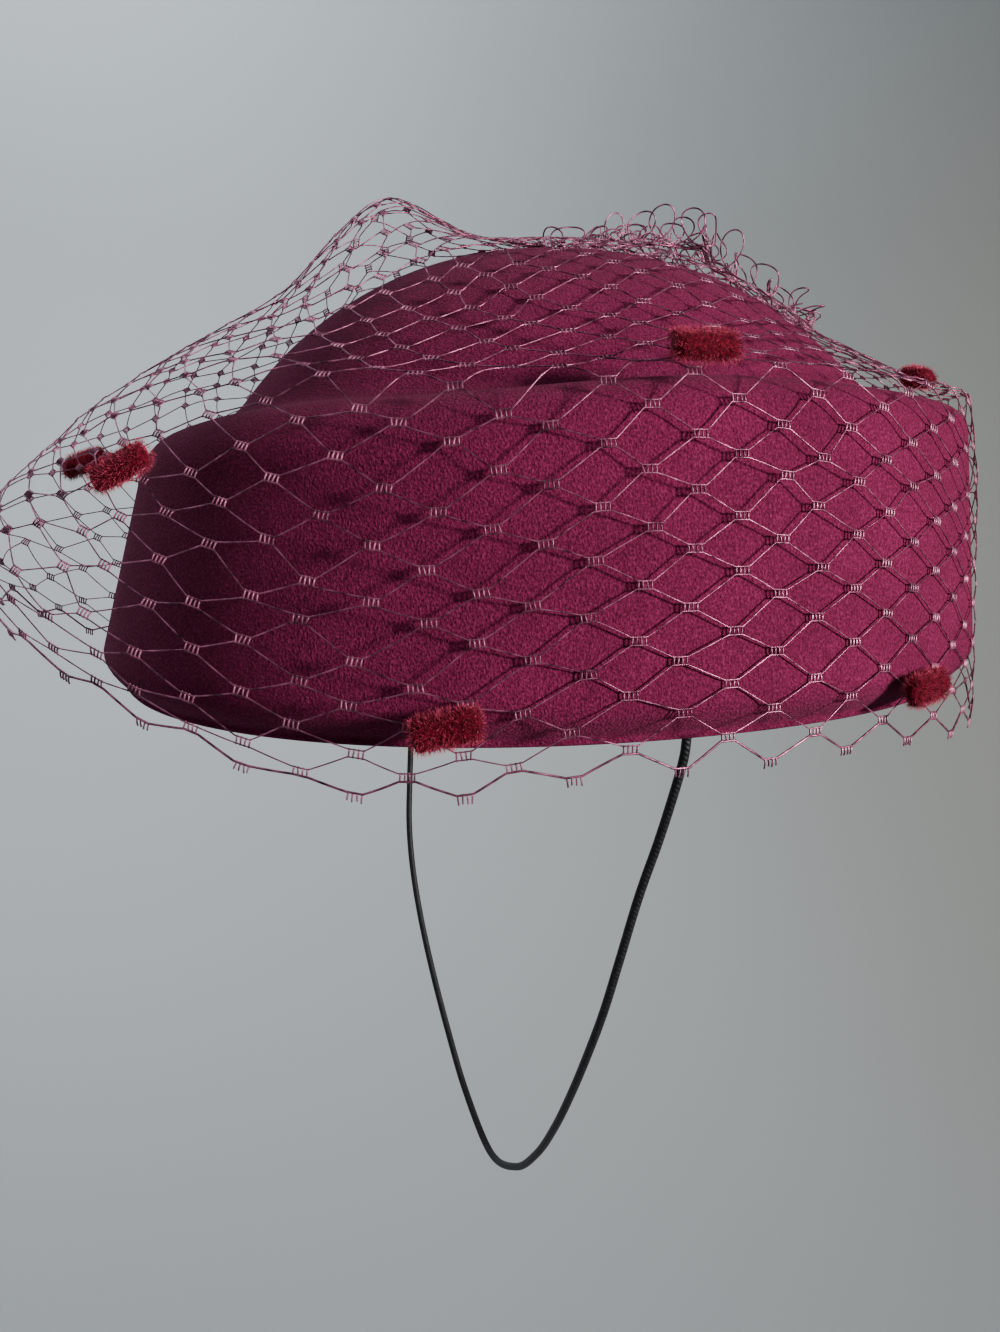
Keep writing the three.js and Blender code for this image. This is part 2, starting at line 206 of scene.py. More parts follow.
class Shader:
    """A node material that is put together one node at a time."""

    def __init__(self, name: str) -> None:
        """Start a material with its output and its main shader.

        Args:
            name: Name of the material.
        """
        self.material = bpy.data.materials.new(name)
        self.material.use_nodes = True
        self.tree = self.material.node_tree
        self.main = self.tree.nodes["Principled BSDF"]

    def add(
        self, kind: str, inputs: dict[str, Socket | float | Point] | None = None, **settings: str
    ) -> bpy.types.Node:
        """Add a node.

        Args:
            kind: Type of the node.
            inputs: Values or sockets for its inputs, by name.
            settings: Properties of the node.

        Returns:
            The new node.
        """
        node = self.tree.nodes.new(kind)
        for name, value in settings.items():
            setattr(node, name, value)
        for name, value in (inputs or {}).items():
            if isinstance(value, Socket):
                self.tree.links.new(value, node.inputs[name])
            else:
                node.inputs[name].default_value = value
        return node

    def coordinates(self, output: str = "Object") -> Socket:
        """Socket of the texture coordinates."""
        return self.add("ShaderNodeTexCoord").outputs[output]

    def noise(self, scale: float, detail: float, vector: Socket) -> Socket:
        """Socket of a noise pattern, with its scale in cycles a metre."""
        node = self.add("ShaderNodeTexNoise", {"Vector": vector, "Scale": scale, "Detail": detail})
        return node.outputs["Fac"]

    def ramp(self, value: Socket, stops: list[tuple[float, Rgb]]) -> Socket:
        """Turn a value into a colour along stops.

        Args:
            value: Socket that drives the colour.
            stops: Positions from 0 to 1, each with its colour.

        Returns:
            The colour socket.
        """
        node = self.add("ShaderNodeValToRGB", {"Fac": value})
        elements = node.color_ramp.elements
        while len(elements) < len(stops):
            elements.new(0.5)
        for element, (position, colour) in zip(elements, stops):
            element.position = position
            element.color = (*colour, 1.0)
        return node.outputs["Color"]

    def mix(self, factor: float | Socket, low: Socket, high: Socket | Rgba, blend: str = "MIX") -> Socket:
        """Mix two colours.

        Args:
            factor: Share of the second colour.
            low: First colour.
            high: Second colour.
            blend: Way of mixing.

        Returns:
            The colour socket.
        """
        node = self.add("ShaderNodeMix", data_type="RGBA", blend_type=blend)
        factor_input, low_input, high_input = 0, 6, 7
        for number, value in ((factor_input, factor), (low_input, low), (high_input, high)):
            if isinstance(value, Socket):
                self.tree.links.new(value, node.inputs[number])
            else:
                node.inputs[number].default_value = value
        colour_output = 2
        return node.outputs[colour_output]

    def bump(self, height: Socket, distance: float, strength: float, under: Socket | None = None) -> Socket:
        """Bend the surface by a height pattern.

        Args:
            height: Socket of the pattern.
            distance: Depth of the pattern in metres.
            strength: Share of the bend that shows.
            under: Socket of a normal that is bent already.

        Returns:
            The normal socket.
        """
        inputs = {"Height": height, "Distance": distance, "Strength": strength}
        if under is not None:
            inputs["Normal"] = under
        return self.add("ShaderNodeBump", inputs).outputs["Normal"]

    def finish(self, colour: Socket, normal: Socket | None = None, **values: float | Rgba) -> Material:
        """Join colour and normal to the main shader and set its values.

        Args:
            colour: Socket of the base colour.
            normal: Socket of the surface normal.
            values: Main shader values, with _ for spaces in their names.

        Returns:
            The finished material.
        """
        self.tree.links.new(colour, self.main.inputs["Base Color"])
        if normal is not None:
            self.tree.links.new(normal, self.main.inputs["Normal"])
        for name, value in values.items():
            self.main.inputs[name.replace("_", " ")].default_value = value
        return self.material


@dataclass(frozen=True)
class WoolFelt:
    """Felted wool: mottled fibres, a soft sheen and a very rough surface."""

    deep: Rgb = (0.095, 0.005, 0.027)
    main: Rgb = (0.185, 0.012, 0.058)
    light: Rgb = (0.32, 0.032, 0.115)
    sheen: Rgb = (0.85, 0.35, 0.55)

    def material(self) -> Material:
        """Make the felt's material.

        Returns:
            The material: mottled grain over soft blotches, with two sizes of fibre in its bump.
        """
        shader = Shader("wool_felt")
        place = shader.coordinates()
        fine = shader.noise(1900.0, 3.0, place)
        blotch = shader.noise(60.0, 2.0, place)
        stretched = shader.add("ShaderNodeMapping", {"Vector": place, "Scale": (1.0, 1.0, 0.45)}).outputs[0]
        fibre = shader.noise(3200.0, 2.0, stretched)
        grain = shader.ramp(fine, [(0.3, self.deep), (0.52, self.main), (0.78, self.light)])
        shade = shader.ramp(blotch, [(0.3, (0.82, 0.82, 0.82)), (0.7, (1.0, 1.0, 1.0))])
        colour = shader.mix(1.0, grain, shade, "MULTIPLY")
        normal = shader.bump(fine, 0.0006, 0.75)
        normal = shader.bump(fibre, 0.00035, 0.6, normal)
        return shader.finish(
            colour,
            normal,
            Roughness=0.96,
            Sheen_Weight=0.05,
            Sheen_Roughness=0.5,
            Sheen_Tint=(*self.sheen, 1.0),
            Specular_IOR_Level=0.12,
        )


@dataclass(frozen=True)
class NetThread:
    """Twisted net thread: dark and fine, with a pink glint where the light runs across it."""

    name: str = "net_thread"
    dark: Rgb = (0.05, 0.011, 0.026)
    light: Rgb = (0.62, 0.19, 0.33)
    lustre: float = 0.75

    def material(self) -> Material:
        """Make the thread's material.

        Returns:
            The material: its colour runs from dark to light along the thread.
        """
        shader = Shader(self.name)
        place = shader.coordinates()
        uneven = shader.noise(420.0, 2.0, place)
        twist = shader.noise(5200.0, 1.0, place)
        colour = shader.ramp(uneven, [(0.3, self.dark), (0.7, self.light)])
        normal = shader.bump(twist, 0.0001, 0.4)
        return shader.finish(
            colour,
            normal,
            Roughness=0.38,
            Metallic=self.lustre,
            Specular_IOR_Level=0.5,
        )


@dataclass(frozen=True)
class ChenillePile:
    """Cut velvet pile: deep red straight on and lighter at grazing angles, with a painted highlight at the
    tip of each fibre.
    """

    deep: Rgb = (0.018, 0.0005, 0.002)
    bright: Rgb = (0.18, 0.005, 0.021)
    # painted highlight: the light colour given to the tip of each fibre stands for its lit fringe
    painted_tip_highlight: Rgb = (1.0, 0.13, 0.24)

    def material(self) -> Material:
        """Make the pile's material.

        Returns:
            The material: dark between the tufts, with a painted highlight at the tip of each fibre.
        """
        shader = Shader("chenille_pile")
        place = shader.coordinates()
        tufts = shader.noise(1500.0, 3.0, place)
        grain = shader.ramp(tufts, [(0.3, self.deep), (0.68, self.bright)])
        # painted highlight: the tip of each fibre is mixed towards the light colour
        tip = shader.add("ShaderNodeAttribute", attribute_name="tip").outputs["Fac"]
        colour = shader.mix(tip, grain, (*self.painted_tip_highlight, 1.0))
        normal = shader.bump(tufts, 0.0004, 0.8)
        return shader.finish(
            colour,
            normal,
            Roughness=0.8,
            Sheen_Weight=1.0,
            Sheen_Roughness=0.35,
            Sheen_Tint=(1.0, 0.16, 0.28, 1.0),
            Specular_IOR_Level=0.08,
        )


@dataclass(frozen=True)
class BraidedElastic:
    """Black round elastic with a fine slanting braid."""

    black: Rgb = (0.004, 0.004, 0.005)
    worn: Rgb = (0.018, 0.018, 0.02)

    def material(self) -> Material:
        """Make the elastic's material.

        Returns:
            The material: black, a little worn, with the braid in its bump.
        """
        shader = Shader("braided_elastic")
        wrapped = shader.coordinates("UV")
        braid = shader.add(
            "ShaderNodeTexWave",
            {"Vector": wrapped, "Scale": 1.0, "Distortion": 0.4},
            wave_type="BANDS",
            bands_direction="DIAGONAL",
        ).outputs["Fac"]
        dust = shader.noise(900.0, 2.0, shader.coordinates())
        colour = shader.ramp(dust, [(0.3, self.black), (0.75, self.worn)])
        normal = shader.bump(braid, 0.00012, 0.7)
        return shader.finish(colour, normal, Roughness=0.55, Specular_IOR_Level=0.4)


@dataclass(frozen=True)
class StudioPaper:
    """Plain pale paper of the floor and wall."""

    tone: Rgb = (0.50, 0.52, 0.53)

    def material(self) -> Material:
        """Make the paper's material.

        Returns:
            The material: plain paper with a faint cloud.
        """
        shader = Shader("studio_paper")
        cloud = shader.noise(3.0, 1.0, shader.coordinates())
        darker = tuple(0.97 * part for part in self.tone)
        colour = shader.ramp(cloud, [(0.2, darker), (0.8, self.tone)])
        return shader.finish(colour, Roughness=1.0, Specular_IOR_Level=0.0)


@dataclass(frozen=True)
class HatForm:
    """Sizes of the blocked felt that the veil and the elastic also follow, in metres."""

    band_length: float = 226 * MM
    band_width: float = 202 * MM
    band_height: float = 67 * MM
    widest_height: float = 9.5 * MM
    rim_tuck: float = 5.7 * MM
    band_lean: float = 7 * MM
    round_front: float = 14 * MM
    round_back: float = 8 * MM
    crown_inset: float = 29 * MM
    crown_height: float = 40.5 * MM
    crown_shift: float = 5.5 * MM
    crown_fullness: float = 1.08
    wall: float = 2.5 * MM
    squareness: float = 0.03
    shoulder_lifts: tuple[tuple[float, float], ...] = (
        (0.0, -0.07), (45.0, -0.02), (90.0, 0.045), (135.0, 0.012), (180.0, 0.0), (270.0, 0.02),
        (315.0, -0.02),
    )

    @property
    def half_length(self) -> float:
        """Half of the band's length at its widest line."""
        return self.band_length / 2

    @property
    def half_width(self) -> float:
        """Half of the band's width at its widest line."""
        return self.band_width / 2

    @property
    def crown_along(self) -> float:
        """Half of the crown's length at the crease."""
        return self.half_length - self.crown_inset

    @property
    def crown_across(self) -> float:
        """Half of the crown's width at the crease."""
        return self.half_width - self.crown_inset

    def lift(self, angle: Array) -> Array:
        """Lift of the shoulder line at angles in degrees."""
        return round_table(self.shoulder_lifts, angle) * self.band_height

    def rounding(self, angle: Array) -> Array:
        """Radius of the shoulder, easing from the front's to the back's."""
        back = (1 - np.cos(np.radians(angle))) / 2
        return self.round_front + (self.round_back - self.round_front) * back

    def shift(self, height: Array) -> Array:
        """How far back a level's oval sits, growing with its height."""
        return self.crown_shift * np.clip(height / self.band_height, 0, 1)

    def oval(self, angle: Array, along: Array, across: Array, shift: Array, height: Array) -> Array:
        """Points on a level oval, slightly squarer than an ellipse.

        Args:
            angle: Angles in degrees from the front over the wearer's left.
            along: Half lengths.
            across: Half widths.
            shift: Moves of the centre towards the back.
            height: Heights above the rim's plane.

        Returns:
            Points of the broadcast shape, with x, y and z last.
        """
        turn = np.radians(angle)
        bulge = 1 + self.squareness * np.sin(2 * turn) ** 2
        x = across * bulge * np.sin(turn)
        y = shift - along * bulge * np.cos(turn)
        return np.stack(np.broadcast_arrays(x, y, height), -1)

    def dome_height(self, share: Array) -> Array:
        """Height of the dome, a sphere's cap that is a little fuller at its edge.

        The sphere's radius is the half length squared plus the cap's height squared, over twice the
        height, and the dome's height is the sphere's centre plus the root of the radius squared less
        the reach squared.

        Args:
            share: Share of the way from the crown's middle to its ring.

        Returns:
            Height above the plane of the rim.
        """
        sphere = (self.crown_along**2 + self.crown_height**2) / (2 * self.crown_height)
        reach = np.minimum(share**self.crown_fullness * self.crown_along, sphere)
        return self.band_height + self.crown_height - sphere + np.sqrt(sphere**2 - reach**2)


@dataclass
class FeltBody:
    """The hat's felt: side band, rounded shoulder, narrow ledge and low dome, in one wall."""

    form: HatForm
    sides: int = 288
    ripple: float = 0.25 * MM
    rim_rows: int = 7
    rim_roundness: float = 1.1
    band_rows: int = 14
    shoulder_rows: int = 13
    shoulder_bend: float = 82.0
    ledge_rows: int = 8
    crease_rows: float = 3.0
    crease_passes: int = 6

    def section(self, angle: Array) -> tuple[Array, Array, Array]:
        """Outer section at each angle from the rim up to short of the crown's top.

        The band leans straight in above its widest line, a quarter circle makes the shoulder, a
        flat ledge runs in to the crease, and a sphere's cap makes the crown.

        Args:
            angle: Angles in degrees.

        Returns:
            Half lengths, half widths and heights, each of shape (rows, angles).
        """
        form = self.form
        rounding = form.rounding(angle)
        lift = form.lift(angle)
        top = form.band_height - rounding
        half_wall = form.wall / 2
        rise = np.linspace(0, 1, self.rim_rows)[:, None]
        tuck = form.rim_tuck * (1 - np.sin(rise * np.pi / 2)) ** self.rim_roundness
        rim = (tuck, half_wall + rise * (form.widest_height - half_wall), 0.0)
        rise = np.linspace(0, 1, self.band_rows + 1)[1:, None]
        band = (form.band_lean * rise, form.widest_height + rise * (top - form.widest_height), rise)
        bend = np.radians(np.linspace(0, self.shoulder_bend, self.shoulder_rows + 1))[1:, None]
        shoulder = (form.band_lean + rounding * (1 - np.cos(bend)), top + rounding * np.sin(bend), 1.0)
        inward = np.linspace(0, 1, self.ledge_rows + 1)[1:, None]
        edge_inset, edge_height = shoulder[0][-1], shoulder[1][-1]
        ledge_inset = edge_inset + (form.crown_inset - edge_inset) * inward
        ledge_height = edge_height + (form.band_height - edge_height) * inward
        ledge = (ledge_inset, ledge_height, 1.0 - 0.5 * inward)
        columns = len(angle)
        parts = (rim, band, shoulder, ledge)
        inset, level, lifted = (
            np.concatenate([np.broadcast_to(part[i], (len(part[0]), columns)) for part in parts])
            for i in range(3)
        )
        share = np.concatenate([np.linspace(0.985, 0.8, 11), np.linspace(0.77, 0.03, 22)])[:, None]
        dome = form.dome_height(share) + lift * 0.5 * share**4
        dome_along = np.broadcast_to(form.crown_along * share, dome.shape)
        dome_across = np.broadcast_to(form.crown_across * share, dome.shape)
        along = np.concatenate([form.half_length - inset, dome_along])
        across = np.concatenate([form.half_width - inset, dome_across])
        height = np.concatenate([level + lift * lifted, dome])
        return self.softened(along, across, height)

    def softened(self, along: Array, across: Array, height: Array) -> tuple[Array, Array, Array]:
        """Round the crease by averaging each row with its neighbours, most near the crease.

        Args:
            along: Half lengths, shape (rows, angles).
            across: Half widths.
            height: Heights.

        Returns:
            The same three arrays, softened.
        """
        crease = self.rim_rows + self.band_rows + self.shoulder_rows + self.ledge_rows - 1
        nearness = np.exp(-(((np.arange(len(along)) - crease) / self.crease_rows) ** 2))[1:-1, None]
        for _ in range(self.crease_passes):
            for part in (along, across, height):
                part[1:-1] += 0.5 * nearness * (0.5 * (part[:-2] + part[2:]) - part[1:-1])
        return along, across, height

    def build(self, finish: WoolFelt) -> Piece:
        """Make the felt as one closed wall and dress it.

        Args:
            finish: The felt's finish.

        Returns:
            The felt piece.
        """
        form = self.form
        angle = np.arange(self.sides) * 360.0 / self.sides
        along, across, height = self.section(angle)
        run = np.gradient(along, axis=0)
        rise = np.gradient(height, axis=0)
        length = np.hypot(run, rise)
        inner_along = along - form.wall * rise / length
        inner_across = across - form.wall * rise / length
        inner_height = height + form.wall * run / length
        wave = self.ripple * (np.sin(np.radians(3 * angle + 40)) + np.sin(np.radians(7 * angle)) * 0.5)
        sway = wave * smooth_step(height, 0.0, 0.03) * (1 - smooth_step(height, 0.06, 0.075))
        edge = np.linspace(0, np.pi, 7)[1:-1, None]
        half_wall = form.wall / 2
        middle = (along[0] + inner_along[0]) / 2
        across_middle = (across[0] + inner_across[0]) / 2
        rim_along = middle + half_wall * np.cos(edge)
        rim_across = across_middle + half_wall * np.cos(edge)
        rim_height = np.broadcast_to(half_wall * (1 - np.sin(edge)), rim_along.shape)
        all_along = np.concatenate([(along + sway)[::-1], rim_along, inner_along + sway])
        all_across = np.concatenate([(across + sway)[::-1], rim_across, inner_across + sway])
        all_height = np.concatenate([height[::-1], rim_height, inner_height])
        points = form.oval(angle[None, :], all_along, all_across, form.shift(all_height), all_height)
        rings = len(points)
        top = [[0, form.crown_shift, float(form.dome_height(np.array(0.0)))]]
        under = [[0, form.crown_shift, top[0][2] - form.wall]]
        flat = np.concatenate([points.reshape(-1, 3), top, under])
        quads = grid_faces(rings, self.sides, closed_columns=True)
        faces = [block[:, ::-1] for block in (quads, *end_fans(rings, self.sides))]
        piece = new_piece("felt_form", flat, faces, finish.material())
        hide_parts("felt_body")
        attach(piece, "root")
        return piece


@dataclass
class VeilForm:
    """The veil's surface: on the band and crown it lies close, in front it stands off."""

    form: HatForm
    gap: float = 1.4 * MM
    shoulder_gap: float = 2.5 * MM
    hem_drop: float = 11 * MM
    front_reach: float = 28 * MM
    peak_height: float = 118 * MM
    front_spread: float = 36.0
    touch_share: float = 0.85
    gather_right: float = 8 * MM
    gather_back: float = 48 * MM
    gather_half_length: float = 41 * MM
    gather_half_width: float = 6 * MM
    gather_gap: float = 2.2 * MM
    gather_row: float = 5.0
    drape: float = 9 * MM
    drape_angle: float = 170.0
    drape_spread: float = 55.0
    frill_height: float = 17 * MM
    frill_lean: float = 3 * MM
    frill_wave: float = 3 * MM
    frill_waves: int = 12
    frill_crumple: float = 2 * MM
    crumple_waves: int = 29
    rows: float = 6.0
    hangs: tuple[tuple[float, float], ...] = (
        (0.0, 0.9), (53.0, 1.0), (76.0, 0.4), (104.0, 0.38), (130.0, 0.72), (180.0, 0.6), (230.0, 0.45),
        (307.0, 1.0),
    )
    front_rows: tuple[tuple[float, float, float, float], ...] = (
        (0.0, 0.82, 0.0, 0.19), (0.45, 1.0, 0.0, 0.32), (1.2, 0.6, 0.0, 0.42), (1.9, 0.18, 0.0, 0.51),
        (2.2, 0.0, 0.01, 0.56), (2.5, 0.0, 0.15, 0.65), (2.9, 0.0, 0.42, 0.8), (3.2, 0.0, 0.52, 0.91),
        (3.5, 0.0, 0.61, 0.99), (3.7, 0.0, 0.67, 1.0), (4.1, 0.0, 0.82, 0.94), (4.4, 0.0, 0.92, 0.93),
    )
    band_rows: tuple[tuple[float, float], ...] = ((1.0, 0.26), (2.0, 0.74), (2.5, 1.0))
    angle_steps: int = 720
    row_steps: int = 241
    smoothing: int = 10
    points: Array = field(init=False)
    outward: Array = field(init=False)
    lengths: Array = field(init=False)

    def __post_init__(self) -> None:
        """Work the surface out on a grid, evenly spaced along each line from hem to gather."""
        angle = np.arange(self.angle_steps)[:, None] * 360.0 / self.angle_steps
        row = np.linspace(0, self.rows, self.row_steps)[None, :]
        share = np.exp(-(((np.mod(angle + 180, 360) - 180) / self.front_spread) ** 2))[..., None]
        points = self.lying(angle, row) * (1 - share) + self.standing(angle, row) * share
        points, self.lengths = self.evened(points + self.frill(angle, row))
        around = np.roll(points, -1, 0) - np.roll(points, 1, 0)
        upward = np.gradient(points, axis=1)
        self.outward = unit(np.cross(around, upward))
        self.points = points

    def gather(self, angle: Array) -> Array:
        """Points of the gather, a long narrow ring on the crown.

        The ring's length follows one and a half times the cosine less half its cube, which keeps its
        sides straight, and its width follows the sine.

        Args:
            angle: Angles in degrees.

        Returns:
            Points, with x, y and z last.
        """
        forward = np.cos(np.radians(angle))
        x = self.gather_half_width * np.sin(np.radians(angle)) - self.gather_right
        y = self.gather_back - self.gather_half_length * (1.5 * forward - 0.5 * forward**3)
        return np.stack(np.broadcast_arrays(x, y, self.tight(x, y) + self.gather_gap), -1)

    def tight(self, x: Array, y: Array) -> Array:
        """Height of a net drawn tight over shoulder and crown: dome, then a straight line down.

        Args:
            x: Places across the hat.
            y: Places along the hat.

        Returns:
            Heights above the plane of the rim.
        """
        form = self.form
        touch = self.touch_share
        share = np.hypot(x / form.crown_across, (y - form.crown_shift) / form.crown_along)
        dome = form.dome_height(share)
        edge = (form.half_length - form.band_lean - form.round_back / 2) / form.crown_along
        at_touch = float(form.dome_height(np.array(touch)))
        slope = (at_touch - form.band_height) / (edge - touch)
        line = np.maximum(form.band_height, at_touch - slope * (share - touch))
        return np.where(share <= touch, dome, line)

    def lying(self, angle: Array, row: Array) -> Array:
        """Where the veil lies on the band and over the crown to the gather.

        Up the band its height follows the table of band rows. Past the shoulder it runs straight to
        the gather as seen from above, at the tight net's height plus a gap that eases to the gather's.

        Args:
            angle: Angles in degrees, shape (angles, 1).
            row: Rows from the hem up, shape (1, rows).

        Returns:
            Points of shape (angles, rows, 3).
        """
        form = self.form
        last = self.band_rows[-1][0]
        lift = form.lift(angle)
        hem = -round_table(self.hangs, angle) * self.hem_drop / form.band_height
        knots = np.array([entry[0] for entry in self.band_rows])
        shares = np.array([entry[1] for entry in self.band_rows])
        held = np.minimum(row, last)
        from_table = np.interp(held, knots, shares)
        first = hem + (shares[0] - hem) * np.clip(held, 0, 1)
        share = np.where(held < 1, first, from_table)
        corner = np.clip((held + 0.5 - last) / 0.5, 0, 1)
        height = share * form.band_height + (lift + self.shoulder_gap * corner) * np.maximum(share, 0)
        lean = form.band_lean * np.clip(share, 0, 1) - self.gap + corner * form.rounding(angle) * 0.25
        band = form.oval(angle, form.half_length - lean, form.half_width - lean, form.shift(height), height)
        over = np.clip((row - last) / (self.gather_row - last), 0, 1)
        start = band
        end = self.gather(angle)
        point = start + (end - start) * over[..., None]
        start_gap = np.maximum(start[..., 2] - self.tight(start[..., 0], start[..., 1]) - lift, self.gap)
        rise = self.tight(point[..., 0], point[..., 1]) + lift * (1 - over) ** 2
        rise = rise + start_gap + (self.gather_gap - start_gap) * over**3
        point[..., 2] = np.where(row > last, rise, point[..., 2])
        turn = (np.mod(angle, 360) - self.drape_angle) / self.drape_spread
        before_frill = 1 - np.clip(row - self.gather_row, 0, 1)
        point[..., 2] += self.drape * np.exp(-(turn**2)) * over**1.3 * before_frill
        return point

    def standing(self, angle: Array, row: Array) -> Array:
        """Where the veil stands off in front, by the table of its front rows.

        Args:
            angle: Angles in degrees, shape (angles, 1).
            row: Rows from the hem up, shape (1, rows).

        Returns:
            Points of shape (angles, rows, 3).
        """
        form = self.form
        table = np.array(self.front_rows)
        last = table[-1, 0]
        held = np.minimum(row, last)
        reach = np.interp(held, table[:, 0], table[:, 1]) * self.front_reach
        inward = np.interp(held, table[:, 0], table[:, 2]) * form.half_length
        height = np.interp(held, table[:, 0], table[:, 3]) * self.peak_height
        along = form.half_length + reach - inward
        point = form.oval(angle, along, along * form.half_width / form.half_length, 0.0, height)
        over = np.clip((row - last) / (self.gather_row - last), 0, 1)[..., None]
        return point + (self.gather(angle) - point) * over

    def evened(self, points: Array) -> tuple[Array, Array]:
        """Smooth each line from hem to edge by averaging neighbours, and space its points evenly.

        Args:
            points: Points of shape (angles, rows, 3).

        Returns:
            The even points and the length of each line.
        """
        for _ in range(self.smoothing):
            points[:, 1:-1] += 0.5 * (0.5 * (points[:, :-2] + points[:, 2:]) - points[:, 1:-1])
        step = np.linalg.norm(np.diff(points, axis=1), axis=-1)
        run = np.concatenate([np.zeros((len(points), 1)), np.cumsum(step, 1)], 1)
        lengths = run[:, -1]
        even = np.linspace(0, 1, points.shape[1])
        columns = [
            np.stack([np.interp(even * lengths[i], run[i], points[i, :, k]) for k in range(3)], -1)
            for i in range(len(run))
        ]
        return np.stack(columns), lengths

    def behind(self, angle: Array) -> Array:
        """How much a place belongs to the gather's sides and back, from 0 in front to 1."""
        return smooth_step(-np.cos(np.radians(angle)), -0.75, 0.1)

    def frill(self, angle: Array, row: Array) -> Array:
        """Moves of the net past the gather: up and out, in waves flat at the ends and low in front.

        Args:
            angle: Angles in degrees, shape (angles, 1).
            row: Rows from the hem up, shape (1, rows).

        Returns:
            Moves of shape (angles, rows, 3).
        """
        turn = np.radians(angle)
        behind = self.behind(angle)
        grown = np.maximum(row - self.gather_row, 0) * (0.4 + 0.6 * behind)
        wave = self.frill_wave * np.sin(turn) ** 2 * np.cos(self.frill_waves * turn)
        crumple = self.frill_crumple * np.cos(self.crumple_waves * turn + 2.5 * np.sin(3 * turn)) * behind
        reach = grown * (self.frill_lean + wave + crumple)
        parts = (reach * np.sin(turn), -reach * np.cos(turn), grown * self.frill_height)
        return np.stack(np.broadcast_arrays(*parts), -1)

    def at(self, angle: Array, share: Array) -> tuple[Array, Array]:
        """Points and outward directions, read between the grid's points.

        Args:
            angle: Angles in degrees.
            share: Shares of the way from hem to gather.

        Returns:
            Points and unit directions, with x, y and z last.
        """
        place = np.mod(angle, 360.0) / 360.0 * self.angle_steps
        low = np.floor(place).astype(int) % self.angle_steps
        high = (low + 1) % self.angle_steps
        mix = (place - np.floor(place))[..., None]
        level = np.clip(share, 0, 1) * (self.row_steps - 1)
        under = np.minimum(np.floor(level).astype(int), self.row_steps - 2)
        rise = (level - under)[..., None]

        def read(table: Array) -> Array:
            """Mix the table's four values around each place.

            Args:
                table: Points or directions on the grid.

            Returns:
                The mixed values.
            """
            lower = table[low, under] * (1 - mix) + table[high, under] * mix
            upper = table[low, under + 1] * (1 - mix) + table[high, under + 1] * mix
            return lower * (1 - rise) + upper * rise

        return read(self.points), unit(read(self.outward))


